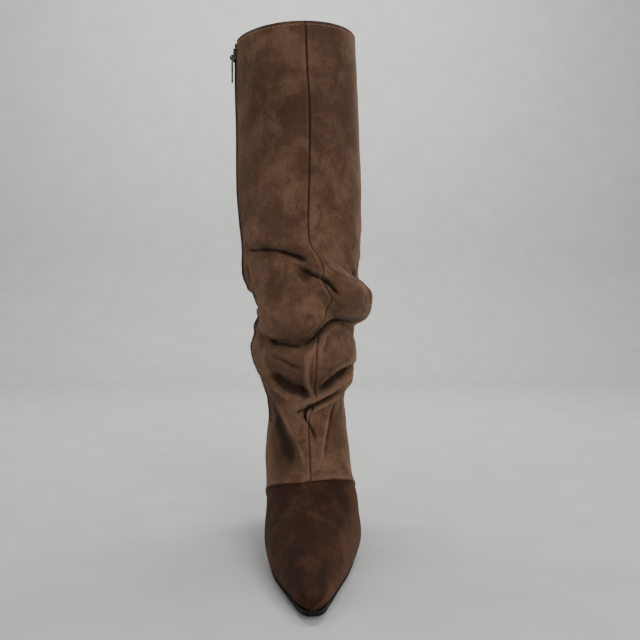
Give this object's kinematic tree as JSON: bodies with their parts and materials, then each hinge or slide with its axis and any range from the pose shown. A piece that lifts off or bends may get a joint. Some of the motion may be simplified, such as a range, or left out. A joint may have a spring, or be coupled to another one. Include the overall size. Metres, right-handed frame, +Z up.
{
  "type": "knee-high boot",
  "caption": "Left women's knee-high dress boot with a pointed toe, thin sole, covered block heel, slouched leg and inside zip with a hinged pull tab.",
  "frame": {"origin": "on the floor, in the middle of the heel's ground face", "axes": "+Z up the leg, -Y from the heel towards the toe, +X towards the outer side of this left boot"},
  "size_m": [0.1431, 0.2703, 0.4972],
  "materials": {
    "suede_vamp": "matt suede nap",
    "suede_leg": "matt suede nap",
    "suede_heel": "matt suede nap",
    "sole_black": "satin",
    "sock_lining": "matt",
    "zip_tape": "woven",
    "gunmetal": "dark polished"
  },
  "bodies": {
    "boot": {"vamp": "suede_vamp", "shaft": "suede_leg", "outsole": "sole_black", "insole": "sock_lining", "heel": "suede_heel", "heel_lift": "sole_black", "zip_tape": "zip_tape", "zip_slider": "gunmetal"},
    "pull": {"zip_pull": "gunmetal"}
  },
  "joints": [
    {"name": "pull_hinge", "type": "hinge", "parent": "boot", "child": "pull", "pos_m": [-0.07379, -0.03894, 0.47227], "axis": [-0.277, 0.9609, 0], "range_deg": [-4, 165]}
  ]
}
